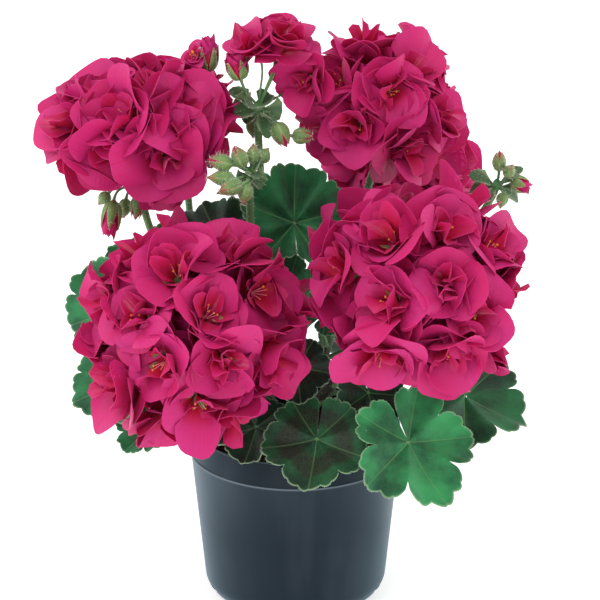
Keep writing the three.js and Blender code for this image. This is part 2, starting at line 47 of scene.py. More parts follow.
def new_object(name, data):
    """An object in the scene that holds this data."""
    made = bpy.data.objects.new(name, data)
    scene.collection.objects.link(made)
    return made


camera = new_object("studio_camera", bpy.data.cameras.new("studio_camera"))
camera.data.sensor_width = 36
camera.data.lens = 154.98
camera.data.clip_end = 30
camera.location = (0.00267131, -1.38510892, 0.68415111)
camera.rotation_euler = (math.radians(70), 0, 0)
scene.camera = camera


def start_finish(name, **constants):
    """A new material and its one surface shader, with fixed values put on the shader's sockets."""
    finish = bpy.data.materials.new(name)
    finish.use_nodes = True
    surface = finish.node_tree.nodes["Principled BSDF"]
    for socket, value in constants.items():
        surface.inputs[socket.replace("_", " ")].default_value = value
    return finish, finish.node_tree, surface


def add(tree, kind, inputs=(), **settings):
    """A shader node with its settings, its fixed inputs and the sockets that feed it."""
    node = tree.nodes.new("ShaderNode" + kind)
    for name, value in settings.items():
        setattr(node, name, value)
    for key, value in dict(inputs).items():
        if isinstance(value, bpy.types.NodeSocket):
            tree.links.new(value, node.inputs[key])
        else:
            node.inputs[key].default_value = value
    return node


def own_place(tree):
    """The place in the object's own coordinates, which the patterns follow."""
    return add(tree, "TexCoord").outputs["Object"]


def noise(tree, scale, detail=2.0, place=None):
    """Soft clouds of values round a half, about as many to the metre as the scale."""
    place = own_place(tree) if place is None else place
    return add(tree, "TexNoise", {"Vector": place, "Scale": scale, "Detail": detail}).outputs[0]


def mixed(share, first, second):
    """A colour between two others, in the node tree that the share comes from."""
    inputs = {0: share, 6: first, 7: second}
    return add(share.id_data, "Mix", inputs, data_type="RGBA").outputs[2]


def mottled_finish(name, scale, first, second, **constants):
    """A finish of two colours that run into each other in soft patches."""
    finish, tree, surface = start_finish(name, **constants)
    tree.links.new(mixed(noise(tree, scale), first, second), surface.inputs["Base Color"])
    return finish


floor_paint = mottled_finish(
    "pale_floor", 3.0, (0.93, 0.93, 0.93, 1), (0.96, 0.96, 0.96, 1),
    Roughness=0.9, Emission_Color=(1, 1, 1, 1), Emission_Strength=0.5,
)
floor_mesh = bpy.data.meshes.new("studio_floor")
floor_mesh.from_pydata([(-6, -6, 0), (6, -6, 0), (6, 6, 0), (-6, 6, 0)], [], [(0, 1, 2, 3)])
floor_mesh.materials.append(floor_paint)
floor = new_object("studio_floor", floor_mesh)

sky = bpy.data.worlds.new("studio_light")
sky.use_nodes = True
backdrop = sky.node_tree.nodes["Background"]
backdrop.inputs["Color"].default_value = (1, 1, 1, 1)
backdrop.inputs["Strength"].default_value = 0.96
scene.world = sky

# Each lamp: where it hangs, its size across, its power, and the height it is aimed at.
LAMPS = {
    "lamp_left": [(-1.5, -0.1, 0.9), 0.9, 5.5, 0.2],
    "lamp_right": [(1.5, 0.4, 0.7), 0.9, 4.5, 0.2],
    "lamp_top": [(-0.4, -0.6, 1.8), 0.8, 6, 0.2],
    "lamp_front": [(-0.7, -1.7, 1.6), 0.7, 2, 0.25],
}
for name, ((x, y, z), across, power, aim) in LAMPS.items():
    light = bpy.data.lights.new(name, "AREA")
    light.shape = "DISK"
    light.size = across
    light.energy = power
    lamp = new_object(name, light)
    lamp.location = (x, y, z)
    lamp.rotation_euler = (math.atan2(math.hypot(x, y), z - aim), 0, math.atan2(x, -y))


# The pot: a thin injection-moulded nursery pot in matt blue-black plastic. Its tapered wall
# ends in a plain band over a fine bead, and eight drainage slots cut the edge of its foot.
def tint(red, green, blue):
    """The linear colour of a tint given as 0 to 255 on a screen."""
    share = np.array([red, green, blue]) / 255
    linear = np.where(share < 0.04045, share / 12.92, ((share + 0.055) / 1.055)**2.4)
    return (*linear.tolist(), 1)


def reckon(operation, *values):
    """The result of one arithmetic node, in the node tree that its values come from."""
    tree = next(value.id_data for value in values if isinstance(value, bpy.types.NodeSocket))
    return add(tree, "Math", dict(enumerate(values)), operation=operation).outputs[0]


def times(first, second):
    """One value times another."""
    return reckon("MULTIPLY", first, second)


def inverse(value):
    """What a value lacks of one."""
    return reckon("SUBTRACT", 1.0, value)


def stepped(value, low, high):
    """Rises smoothly from 0 at low to 1 at high."""
    inputs = {0: value, 1: low, 2: high, 3: 0.0, 4: 1.0}
    return add(value.id_data, "MapRange", inputs, interpolation_type="SMOOTHSTEP").outputs[0]


def mark(tree, name):
    """The value that each point of the mesh carries under this name."""
    return add(tree, "Attribute", attribute_name=name).outputs["Fac"]


def tinged(base, tinge, share, strength):
    """A colour with a tint laid over it, by a share times a strength."""
    return mixed(times(share, strength), base, tint(*tinge))


def dress(surface, colour, height, strength, distance):
    """Gives a surface its colour and its fine relief, of a height times a distance in metres."""
    tree = surface.id_data
    tree.links.new(colour, surface.inputs["Base Color"])
    relief = {"Height": height, "Strength": strength, "Distance": distance}
    tree.links.new(add(tree, "Bump", relief).outputs[0], surface.inputs["Normal"])


def mm(values):
    """Millimetres as an array of metres."""
    return np.asarray(values, float) * 0.001


def repeated(faces, copies, points):
    """The same faces on each of many skins, which have this many points and lie in a row."""
    return (np.arange(copies)[:, None, None] * points + faces).reshape(-1, faces.shape[-1])


def grid_faces(copies, rows, columns, closed):
    """Quads between neighbours on grids of points kept one after the other, row by row. A
    closed grid also joins its last column to its first."""
    row = np.arange(rows - 1)[:, None] * columns
    column = np.arange(columns if closed else columns - 1)[None]
    here, beside = row + column, row + (column + 1) % columns
    quads = np.stack([here, beside, beside + columns, here + columns], -1).reshape(-1, 4)
    return repeated(quads, copies, rows * columns)


def closed_faces(copies, rings, sides):
    """Faces of closed skins: quads between rings of points, and a flat end at either end."""
    first = repeated(np.arange(sides)[None], copies, rings * sides)
    return [grid_faces(copies, rings, sides, True), first[:, ::-1], first + (rings - 1) * sides]


def make_piece(name, patches, finishes, nodes, sharp=62):
    """One object from patches of points in metres, lists of faces, named values that fit the
    grid of points, and the number of their finish. Edges bent more than the sharp angle, in
    degrees, stay crisp."""
    points, faces, numbers, start = [], [], [], 0
    for place, polygons, _, number in patches:
        points.append(place.reshape(-1, 3))
        for polygon in polygons:
            faces += (polygon + start).tolist()
            numbers += [number] * len(polygon)
        start += len(points[-1])
    mesh = bpy.data.meshes.new(name)
    mesh.from_pydata(np.concatenate(points).tolist(), [], faces)
    for key in dict.fromkeys(key for patch in patches for key in patch[2]):
        whole = [np.broadcast_to(values.get(key, 0), place.shape[:-1]).ravel()
                 for place, _, values, _ in patches]
        mesh.attributes.new(key, "FLOAT", "POINT").data.foreach_set("value", np.concatenate(whole))
    for finish in finishes:
        mesh.materials.append(finish)
    mesh.polygons.foreach_set("material_index", numbers)
    mesh.shade_smooth()
    mesh.set_sharp_from_angle(angle=math.radians(sharp))
    piece = new_object(name, mesh)
    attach(piece, "root")
    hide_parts(*nodes)
    return piece


def turned_profile(outline, sides):
    """A profile of radii and heights turned round the Z axis, one ring of points for each."""
    angle = np.linspace(0, 2 * np.pi, sides, endpoint=False)
    radius, height = np.asarray(outline).T
    across = radius[:, None] * np.cos(angle), radius[:, None] * np.sin(angle)
    return np.stack([*across, np.broadcast_to(height[:, None], across[0].shape)], -1)


# Sizes are in millimetres here and below, unless they say metres.
SHOULDER_RADIUS = 53.2
SHOULDER_Z = 12
BEAD_RADIUS = 60.8
BEAD_Z = 88.5
BAND_INSIDE = 58.8
WALL = 1.5


def wall_radius(height):
    """The wall's radius, rising evenly from the shoulder to the bead."""
    rise = (height - SHOULDER_Z) / (BEAD_Z - SHOULDER_Z)
    return SHOULDER_RADIUS + (BEAD_RADIUS - SHOULDER_RADIUS) * rise


# Radii and heights from the middle of the foot, up the outside and down the inside.
POT_OUTLINE = [
    [0.5, 0], [44.9, 0], [45.5, 0.4], [48, 2.6], [50.1, 4.5], [51.4, 6.3], [52.4, 8.5],
    [52.95, 10.2], [wall_radius(13), 13], [wall_radius(50), 50], [wall_radius(87.6), 87.6],
    [60.9, 87.9], [61.15, 88.3], [61.25, 88.9], [61.15, 89.4], [60.85, 89.8], [60.8, 90.3],
    [60.95, 102.6], [60.9, 103.4], [60.55, 103.85], [60, 104], [59.4, 104], [58.95, 103.8],
    [BAND_INSIDE, 103.2], [BAND_INSIDE, 87.5], [wall_radius(50) - WALL, 50],
    [wall_radius(13) - WALL, 13], [44.3, 2], [0.5, 2],
]
POT_SIDES = 160
POT_SHARP = 30
SLOTS = 8
SLOT_WIDTH = 8
SLOT_TOP = 8.5

pot_plastic, tree, surface = start_finish(
    "matt_pot_plastic", IOR=1.45, Specular_IOR_Level=0.16, Specular_Tint=(0.8, 0.93, 1, 1),
    Sheen_Weight=0.3, Sheen_Roughness=0.5, Sheen_Tint=(0.4, 0.75, 1, 1),
)
upright = add(tree, "Mapping", {"Vector": own_place(tree), "Scale": (60, 60, 5)}).outputs[0]
flow, cloud = noise(tree, 1.0, 4.0, upright), noise(tree, 22.0, 6.0)
body = mixed(flow, tint(8, 15, 23), tint(16, 25, 34))
dust = stepped(times(cloud, flow), 0.22, 0.42)
body = tinged(body, (84, 92, 98), dust, 0.08)
# Painted highlight: the top of the bead and the rim's top edge are painted pale where they catch
# the light.
body = tinged(body, (120, 134, 142), mark(tree, "rim_highlight"), stepped(cloud, 0.2, 0.6))
tree.links.new(reckon("MULTIPLY_ADD", cloud, 0.22, 0.27), surface.inputs["Roughness"])
dress(surface, body, noise(tree, 1500.0), 0.12, 0.0002)

skin = turned_profile(mm(POT_OUTLINE), POT_SIDES)
height, across = skin[..., 2] * 1000, np.hypot(skin[..., 0], skin[..., 1]) * 1000
# A painted highlight along the top of the bead and on the rim's top edge.
painted_highlight = 0.8 * np.exp(-((height - 88.75) / 0.45)**2) + 0.7 * (height > 103.7)
painted_highlight = painted_highlight * (across > BAND_INSIDE + 0.4)
patch = (skin, closed_faces(1, len(POT_OUTLINE), POT_SIDES), {"rim_highlight": painted_highlight}, 0)
pot = make_piece("nursery_pot", [patch], [pot_plastic], ["pot"], POT_SHARP)

# Blocks set in a ring round the foot cut the slots out of its edge.
around = (np.arange(SLOTS)[:, None] + 0.5) * 2 * np.pi / SLOTS
half = SLOT_WIDTH / 2
corners = [[x, y, z] for x in (40.5, 52.5) for y in (-half, half) for z in (-SLOT_TOP, SLOT_TOP)]
x, y, z = mm(corners).T
x, y = x * np.cos(around) - y * np.sin(around), x * np.sin(around) + y * np.cos(around)
blocks = np.stack([x, y, np.broadcast_to(z, x.shape)], -1).reshape(-1, 3)
sides = [[0, 1, 3, 2], [4, 6, 7, 5], [0, 4, 5, 1], [2, 3, 7, 6], [0, 2, 6, 4], [1, 5, 7, 3]]
sides = repeated(np.array(sides), SLOTS, 8)
slot_mesh = bpy.data.meshes.new("slot_punch")
slot_mesh.from_pydata(blocks.tolist(), [], sides.tolist())
punch = new_object("slot_punch", slot_mesh)
cut = pot.modifiers.new("slots", "BOOLEAN")
cut.object = punch
cut.solver = "EXACT"
bpy.context.view_layer.update()
punched = pot.evaluated_get(bpy.context.evaluated_depsgraph_get())
pot.data = bpy.data.meshes.new_from_object(punched)
pot.modifiers.clear()
bpy.data.objects.remove(punch)
pot.data.set_sharp_from_angle(angle=math.radians(POT_SHARP))


# The potting soil: dark moist peat, crumbly, with a few paler specks. It is filled to the
# height of the pot's bead and rises a little to the crown of the plant.
def ripples(place, size, seed):
    """Soft random heights: twice the mean of sine waves of random direction and phase."""
    chance = default_rng(seed)
    waves = chance.normal(size=(12, 3)) * (2 * np.pi / size)
    return np.sin(place @ waves.T + chance.uniform(0, 2 * np.pi, 12)).mean(-1) * 2


def lumps(middles, sizes, seed, number=0):
    """A patch of small rough balls: five rings of five points, each pushed in or out."""
    chance = default_rng(seed)
    height = np.cos(np.radians([12, 55, 90, 125, 168]))[:, None]
    angle = np.radians(72) * np.arange(5)
    flat = np.sqrt(1 - height**2)
    ball = np.stack([flat * np.cos(angle), flat * np.sin(angle), height + 0 * angle], -1)
    rough = chance.uniform(0.7, 1.15, (len(middles), 5, 5, 1))
    points = middles[:, None, None] + ball * rough * sizes[:, None, None, None]
    faces = [quads[:, ::-1] for quads in closed_faces(len(middles), 5, 5)]
    return points, faces, {}, number


peat, tree, surface = start_finish("moist_peat", Specular_IOR_Level=0.25)
crumb = noise(tree, 420.0, 8.0)
brown = mixed(crumb, tint(18, 12, 8), tint(74, 52, 36))
cells = add(tree, "TexVoronoi", {"Vector": own_place(tree), "Scale": 300.0}).outputs["Color"]
speck = stepped(add(tree, "SeparateColor", {0: cells}).outputs[0], 0.9, 0.97)
tree.links.new(reckon("MULTIPLY_ADD", crumb, 0.3, 0.65), surface.inputs["Roughness"])
dress(surface, mixed(speck, brown, tint(118, 92, 66)), crumb, 0.8, 0.001)

SOIL_OUTLINE = [[0.5, 2.3], [43.6, 2.3], [50.9, 13], [58.2, 86.5], [57.6, 88.6]]
MOUND_REACH = [0, 16, 30, 47, 56]
MOUND_TOP = [93.5, 92.5, 91, 90, 89]
SOIL_SIDES = 120
CRUMBS = 420

mound = np.linspace(56, 0.5, 44)
top = np.interp(mound, MOUND_REACH, MOUND_TOP)
outline = mm(SOIL_OUTLINE + np.stack([mound, top], 1).tolist())
bed = turned_profile(outline, SOIL_SIDES)
bed[5:, :, 2] += 0.0011 * ripples(bed[5:], 0.006, 5) + 0.0007 * ripples(bed[5:], 0.002, 6)
chance = default_rng(8)
reach = 0.056 * np.sqrt(chance.uniform(0.02, 1, CRUMBS))
turn = chance.uniform(0, 2 * np.pi, CRUMBS)
level = np.interp(reach, mm(MOUND_REACH), mm(MOUND_TOP))
heap = np.stack([reach * np.cos(turn), reach * np.sin(turn), level + 0.0002], -1)
patches = [
    (bed, closed_faces(1, len(outline), SOIL_SIDES), {}, 0),
    lumps(heap, chance.uniform(0.0007, 0.0021, CRUMBS), 9),
]
make_piece("potting_soil", patches, [peat], ["soil"], 60)


# The stems: a short woody crown in the soil that forks into five green shoots. They swell at
# each leaf joint, and turn from corky brown near the soil to hairy green above. The brown is
# bark, made darker and carried further up than the bark reaches, as painted shade in the dim
# middle of the plant.
def along(corners, shares):
    """Points of cubic Bezier curves with four control points, at shares of their course.
    The control points may be arrays of many curves."""
    a, b, c, d = [np.asarray(corner, float)[..., None, :] for corner in corners]
    t = np.asarray(shares)[:, None]
    return (1 - t)**3 * a + 3 * t * (1 - t)**2 * b + 3 * t**2 * (1 - t) * c + t**3 * d


def unit(ways):
    """The same directions with length one."""
    return ways / np.maximum(np.linalg.norm(ways, axis=-1, keepdims=True), 1e-12)


def fan(angle, u, v):
    """The directions at these angles from u towards v."""
    return np.cos(angle)[..., None] * u + np.sin(angle)[..., None] * v


def tubes(centres, radii, sides):
    """Round tubes along rows of centres: each ring lies square to the path, counted the
    right-handed way round it, and flat ends close the tube."""
    centres = centres.reshape(-1, *centres.shape[-2:])
    copies, rings = centres.shape[:2]
    ahead = unit(np.gradient(centres, axis=1))
    whole = unit(centres[:, -1] - centres[:, 0])
    guide = np.where(np.abs(whole[:, 1:2]) < 0.75, [[0, 1.0, 0]], [[1.0, 0, 0]])[:, None]
    u = unit(np.cross(guide, ahead))
    v = np.cross(ahead, u)
    angle = 2 * np.pi * np.arange(sides) / sides
    out = fan(angle, u[:, :, None], v[:, :, None])
    radii = np.broadcast_to(radii, (copies, rings))[:, :, None, None]
    return centres[:, :, None] + radii * out, closed_faces(copies, rings, sides), out


def fuzz(points, out, count, length, seed, number=2):
    """A patch of fine hairs on a skin: three-sided spikes standing at random points of it,
    along the directions that lead out of it and leaning a little."""
    chance = default_rng(seed)
    pick = chance.integers(0, points.reshape(-1, 3).shape[0], count)
    foot, way = points.reshape(-1, 3)[pick], out.reshape(-1, 3)[pick]
    way = unit(way + 0.35 * chance.normal(size=way.shape))
    u = unit(np.cross(way, [0.31, 0.52, 0.79]))
    v = np.cross(way, u)
    around = fan(2 * np.pi * np.arange(3) / 3, u[:, None], v[:, None])
    base = foot[:, None] - 0.0002 * way[:, None] + 0.0001 * around
    tip = foot + way * length * chance.uniform(0.5, 1.2, (count, 1))
    spikes = np.concatenate([base, tip[:, None]], 1)
    corners = np.array([[0, 1, 3], [1, 2, 3], [2, 0, 3], [0, 2, 1]])
    return spikes, [repeated(corners, count, 4)], {}, number


CROWN_RADIUS = 6
SHOOT_RADIUS = 3.4
# Each shoot: where it starts, two points it bends towards, and where it ends.
SHOOTS = {
    "crown": [[0, 0, 48], [0, 0, 70], [1, -1, 92], [0, 0, 113]],
    "front_left": [[0, 0, 102], [-10, -5, 112], [-22, -6, 126], [-26, -8, 150]],
    "front_right": [[0, 0, 104], [10, -5, 116], [24, -8, 132], [32, -8, 152]],
    "left": [[0, 0, 98], [-16, 8, 112], [-34, 16, 134], [-42, 18, 165]],
    "right": [[0, 0, 106], [10, 8, 122], [22, 18, 150], [26, 24, 182]],
    "back": [[0, 0, 108], [-2, 14, 118], [0, 28, 138], [2, 34, 168]],
}


def on_shoot(name, share):
    """The point in metres at a share of a shoot's course."""
    return along(mm(SHOOTS[name]), [share])[0]


stalk_skin, tree, surface = start_finish(
    "hairy_stalk_green", Roughness=0.52, Sheen_Weight=0.35, Sheen_Roughness=0.4,
)
mottle, deep = noise(tree, 160.0, 5.0), (44, 100, 56)
green = mixed(stepped(noise(tree, 18.0), 0.3, 0.7), tint(*deep), tint(112, 158, 92))
green = tinged(green, deep, mottle, 0.35)
# Nearly black-brown bark: real corky bark, darkened as painted shade for the dim middle of the
# plant.
bark_and_shade = mixed(mottle, tint(26, 21, 16), tint(66, 55, 40))
cork_and_shade = stepped(reckon("MULTIPLY_ADD", mottle, 0.3, mark(tree, "cork_and_shade")), 0.35, 0.8)
dress(surface, mixed(cork_and_shade, green, bark_and_shade), mottle, 0.35, 0.0006)
hair_white = mottled_finish(
    "pale_plant_hair", 60.0, tint(196, 214, 178), tint(240, 244, 232), Roughness=0.6,
)

patches = []
for number, (name, corners) in enumerate(SHOOTS.items()):
    share = np.linspace(0, 1, 60)
    thick = CROWN_RADIUS if name == "crown" else SHOOT_RADIUS
    joints = np.abs(np.cos(np.pi * (4 * share + 0.3 * number)))**14
    radii = mm(thick * (0.94 + 0.14 * joints) * np.where(share > 0.98, 0.8, 1))
    points, faces, out = tubes(along(mm(corners), share), radii, 18)
    # Brown up to 125 mm, fading out by 165 mm: corky bark low down, carried higher as painted
    # shade.
    cork_and_shade = np.clip((0.165 - points[..., 2]) / 0.04, 0, 1)
    patches.append((points, faces, {"cork_and_shade": cork_and_shade}, 0))
    patches.append(fuzz(points[:, 20:], out[:, 20:], 160, 0.0014, number, 1))
make_piece("woody_stems", patches, [stalk_skin, hair_white], ["stems"])


# The leaves: round lobed blades with scalloped edges, on long petioles from the shoots. They
# are soft and downy, with pale veins that fork from the petiole and a darker zone inside. Leaves
# in the shaded middle of the plant are painted dark green with a stronger zone, as painted shade.
def axes_along(direction, wished=None):
    """Right-handed axes u, v, w with w along a direction and u near a wished one."""
    w = unit(np.asarray(direction, float))
    guide = wished if wished is not None else ([0, 0, 1] if abs(w[2]) < 0.9 else [1, 0, 0])
    u = unit(np.asarray(guide, float) - np.dot(guide, w) * w)
    return u, np.cross(w, u), w


def thin_blades(middle, thick):
    """Closed thin blades from their middle surfaces, grids of points with rows towards the tip
    and columns across: each is shifted half its thickness along its normal to both sides."""
    across, ahead = np.gradient(middle, axis=-2), np.gradient(middle, axis=-3)
    shift = unit(np.cross(across, ahead)) * thick / 2
    points = np.concatenate([middle + shift, (middle - shift)[..., ::-1, :]], -2)
    rows, columns = middle.shape[-3:-1]
    copies = middle.size // (rows * columns * 3)
    column = np.arange(columns - 1)
    strip = np.stack([column, column + 1, 2 * columns - 2 - column, 2 * columns - 1 - column], -1)
    ends = np.concatenate([strip[:, ::-1], strip + (rows - 1) * 2 * columns])
    ends = repeated(ends, copies, rows * 2 * columns)
    return points, [grid_faces(copies, rows, 2 * columns, True), ends]


def on_both(value):
    """A value given on a blade's middle surface, for both of its faces."""
    return np.concatenate([value, value[..., ::-1]], -1)


LEAVES = [
    # where blade and petiole meet | way the upper face looks | way the tip points | width |
    # depth of the notches | shoot, and how far up it | painted light, from painted shade at 0
    # to lit at 1 | strength of the zone, also raised as painted shade on leaves in the shade
    [[63, -64, 119], [0.3, -0.72, 0.62], [0.45, -0.45, -0.75], 77, 0.34,
     ("front_right", 0.35), 1.0, 0.15],
    [[98, 2, 120], [0.3, -0.5, 0.8], [0.85, -0.2, -0.3], 74, 0.3, ("right", 0.2), 0.5, 0.3],
    [[12, -64, 121], [-0.08, -0.62, 0.78], [-0.12, -0.66, -0.74], 64, 0.17,
     ("front_right", 0.12), 0.34, 1.0],
    [[-22, -40, 118], [-0.3, -0.45, 0.85], [-0.3, -0.9, -0.35], 48, 0.16,
     ("front_left", 0.2), 0.08, 0.6],
    [[-0.5, 7.5, 224], [0.2, -0.8, 0.55], [0.05, 0.4, 0.9], 66, 0.12, ("right", 0.8), 0.68, 0.2],
    [[-44, 28, 208], [-0.1, -0.5, 0.85], [-0.4, 0.75, 0.55], 52, 0.12, ("left", 0.9), 0.2, 0.5],
    [[-104, 12, 170], [-0.4, -0.75, 0.5], [-0.6, 0.1, 0.75], 62, 0.2, ("left", 0.75), 0.8, 0.2],
    [[-101, 7, 131], [-0.45, -0.7, 0.55], [-0.8, -0.1, -0.45], 60, 0.2, ("left", 0.45), 0.7, 0.3],
    [[-84, -12, 108], [-0.4, -0.55, 0.72], [-0.55, -0.3, -0.75], 40, 0.2,
     ("front_left", 0.4), 0.6, 0.3],
    [[-4, 4, 189], [-0.1, -0.9, 0.4], [0.3, 0.3, 0.9], 31, 0.16, ("right", 0.4), 0.6, 0.3],
    [[18, 2, 172], [0.2, -0.85, 0.45], [0.7, 0.1, 0.6], 32, 0.16, ("right", 0.6), 0.7, 0.3],
    [[1, -33, 152], [-0.1, -0.8, 0.6], [0.1, -0.55, -0.75], 42, 0.14,
     ("front_left", 0.6), 0.0, 0.9],
    [[41, -40, 139], [0.2, -0.8, 0.55], [0.3, -0.55, -0.75], 44, 0.14,
     ("front_right", 0.6), 0.08, 0.8],
    [[15, 47, 214], [0.2, -0.5, 0.8], [0.5, 0.2, 0.8], 50, 0.14, ("back", 0.85), 0.4, 0.4],
    [[9, 78, 148], [0, 0.6, 0.8], [0, 0.9, -0.4], 63, 0.16, ("back", 0.6), 0.6, 0.6],
    [[40, 70, 118], [0.35, 0.6, 0.7], [0.3, 0.85, -0.5], 68, 0.16, ("right", 0.25), 0.5, 0.7],
    [[-26, 73, 108], [-0.1, 0.65, 0.75], [-0.1, 0.8, -0.6], 66, 0.16, ("back", 0.2), 0.6, 0.6],
    [[84, 26, 158], [0.7, 0.2, 0.7], [0.8, 0.5, -0.3], 62, 0.2, ("right", 0.5), 0.7, 0.5],
    [[90, 66, 122], [0.55, 0.5, 0.65], [0.7, 0.6, -0.4], 60, 0.2, ("right", 0.35), 0.6, 0.4],
    [[-92, 50, 194], [-0.5, 0.4, 0.75], [-0.8, 0.5, 0.1], 54, 0.16, ("left", 0.6), 0.8, 0.4],
    [[16, 92, 206], [0.1, 0.6, 0.8], [-0.1, 0.9, 0.3], 58, 0.16, ("back", 0.98), 0.8, 0.5],
    [[-33, 72, 200], [-0.3, 0.6, 0.75], [-0.5, 0.8, 0.3], 50, 0.16, ("back", 0.7), 0.7, 0.6],
    [[-78, 40, 112], [-0.6, 0.3, 0.72], [-0.85, 0.3, -0.45], 62, 0.16, ("left", 0.25), 0.5, 0.5],
    [[52, 100, 158], [0.3, 0.75, 0.55], [0.35, 0.85, -0.4], 56, 0.16, ("back", 0.75), 0.7, 0.5],
]
LOBES = 5
LOBE_ANGLE = math.radians(71)
TEETH = 6
LEAF_CUP = 0.16
LEAF_FOLD = 0.085
PETIOLE_RADIUS = 1.4
LEAF_THICKNESS = 0.0005  # metres
# Leaves that show less of their lower lobes or are folded deeper than the rest: how much
# shorter those lobes are, and how many times deeper the folds.
FOLDED_LEAVES = {3: (0.0, 1.25), 5: (0.12, 2.1), 14: (0.2, 1.5)}
PLAIN_LEAF = (0, 1)


def leaf_blade(place, face, tip, width, cut, seed, short, pleat):
    """A leaf's middle surface. Its edge lies at a radius that falls to the notch between two
    lobes, as the root of a sine of the angle, with three parts to a lobe and a scallop for each
    tooth. The blade lifts like a shallow bowl, folds up at each notch, and its edge waves by a
    few sines."""
    chance = default_rng(seed)
    u, v, w = axes_along(face, tip)
    lobe = np.linspace(0, LOBES, LOBES * 36 + 1)[None]
    angle = LOBE_ANGLE * (lobe - LOBES / 2)
    corners, sizes = [0, 0.5, 1.5, 2.5, 3.5, 4.5, 5], [0.8, 0.84, 0.96, 1.04, 0.96, 0.84, 0.8]
    size = np.interp(lobe, corners, sizes)
    size = size * (1 - short * np.abs(lobe / LOBES * 2 - 1)**3)
    notch = np.abs(np.sin(np.pi * lobe))**0.45
    part = np.cos(6 * np.pi * (lobe - 0.5)) * 0.12 * cut * notch
    tooth = np.abs(np.sin(np.pi * TEETH * lobe))**0.7
    edge = size * (1 - cut + (cut + 0.02) * notch + part) + 0.04 * (tooth - 0.75)
    share = np.linspace(0.03, 1, 12)[:, None]**0.85
    edge = size * (0.9 - 0.5 * cut) * (1 - share**2) + edge * share**2
    radius = edge * share
    waves = sum(
        chance.uniform(0.3, 1) * np.sin(2 * np.pi * lobe * rate + chance.uniform(0, 2 * np.pi))
        for rate in (0.5, 1, 1.9)
    )
    fold = LEAF_FOLD * pleat * radius**0.8 * np.cos(2 * np.pi * lobe)
    lift = LEAF_CUP * radius**1.9 + fold + 0.075 * waves * radius**2.5
    lift = lift + 0.02 * share**6 * np.sin(2 * np.pi * lobe * TEETH / 2 + seed)
    reach = width / 2000
    flat = (radius * np.cos(angle))[..., None] * u + (radius * np.sin(angle))[..., None] * v
    middle = mm(place) + reach * (flat + lift[..., None] * w)
    return middle, {"lobe": on_both(lobe), "share": share, "span": on_both(radius * reach)}


leaf_down, tree, surface = start_finish(
    "downy_leaf", Roughness=0.55, Specular_IOR_Level=0.35, Sheen_Weight=0.15, Sheen_Roughness=0.45,
)
share, span, lobe = mark(tree, "share"), mark(tree, "span"), mark(tree, "lobe")
aside = reckon("ABSOLUTE", reckon("SUBTRACT", reckon("FRACT", lobe), 0.5))
aside = times(times(aside, LOBE_ANGLE), span)
vein = inverse(stepped(aside, 0.0001, 0.0008))
length = reckon("DIVIDE", span, reckon("MAXIMUM", share, 0.05))
for start, lean in ((0.22, 0.42), (0.42, 0.5), (0.62, 0.6)):
    ahead = reckon("SUBTRACT", share, start)
    line = times(times(length, ahead), lean)
    gap = reckon("ABSOLUTE", reckon("SUBTRACT", aside, line))
    fork = inverse(stepped(gap, 0.00005, 0.0005))
    fork = times(fork, stepped(ahead, -0.01, 0.02))
    vein = reckon("MAXIMUM", vein, times(fork, 0.16))
cells = {"Vector": own_place(tree), "Scale": 330.0}
net = add(tree, "TexVoronoi", cells, feature="DISTANCE_TO_EDGE").outputs[0]
net = inverse(stepped(net, 0.0, 0.16))
vein = reckon("MAXIMUM", vein, times(net, 0.16))
cloud = noise(tree, 45.0, 4.0)
patchy = stepped(cloud, 0.3, 0.7)
# Painted light: each leaf mixes a near-black green of painted shade with a lit green.
painted_shade_green = mixed(patchy, tint(2, 16, 13), tint(8, 40, 30))
painted_lit_green = mixed(patchy, tint(0, 70, 42), tint(46, 154, 88))
green = mixed(mark(tree, "bright"), painted_shade_green, painted_lit_green)
# The dark zone is the leaf's own marking; on leaves in the shaded middle it is made stronger as
# painted shade.
ragged = reckon("MULTIPLY_ADD", cloud, 0.14, reckon("SUBTRACT", share, 0.07))
inner, outer = stepped(ragged, 0.3, 0.5), stepped(ragged, 0.72, 0.84)
zone = times(times(inner, inverse(outer)), mark(tree, "zone"))
green = tinged(green, (34, 34, 26), zone, 0.8)
fading = reckon("MULTIPLY_ADD", share, -0.3, 0.5)
green = tinged(green, (120, 172, 104), vein, fading)
green = tinged(green, (160, 196, 150), stepped(share, 0.97, 1.0), 0.5)
height = reckon("MULTIPLY_ADD", noise(tree, 900.0, 3.0), 0.25, times(vein, -1.0))
dress(surface, green, height, 0.6, 0.0006)


def flared(radius, rings, foot, head, rate):
    """Radii of a stalk, in metres, that grow at its foot and at its head like fading powers."""
    down, up = np.exp(-np.linspace(0, rate, rings)), np.exp(-np.linspace(rate, 0, rings))
    return mm(radius) * (1 + foot * down + head * up)


def hairy_stalks(corners, radii, sides, hairs, length, seed, top=1.0, number=0):
    """Stalks along curves up to a share of them, a ring for each radius, and their hairs."""
    path = along(corners, np.linspace(0, top, len(radii)))
    points, faces, out = tubes(path, radii, sides)
    return [(points, faces, {}, number), fuzz(points, out, hairs, length, seed)]


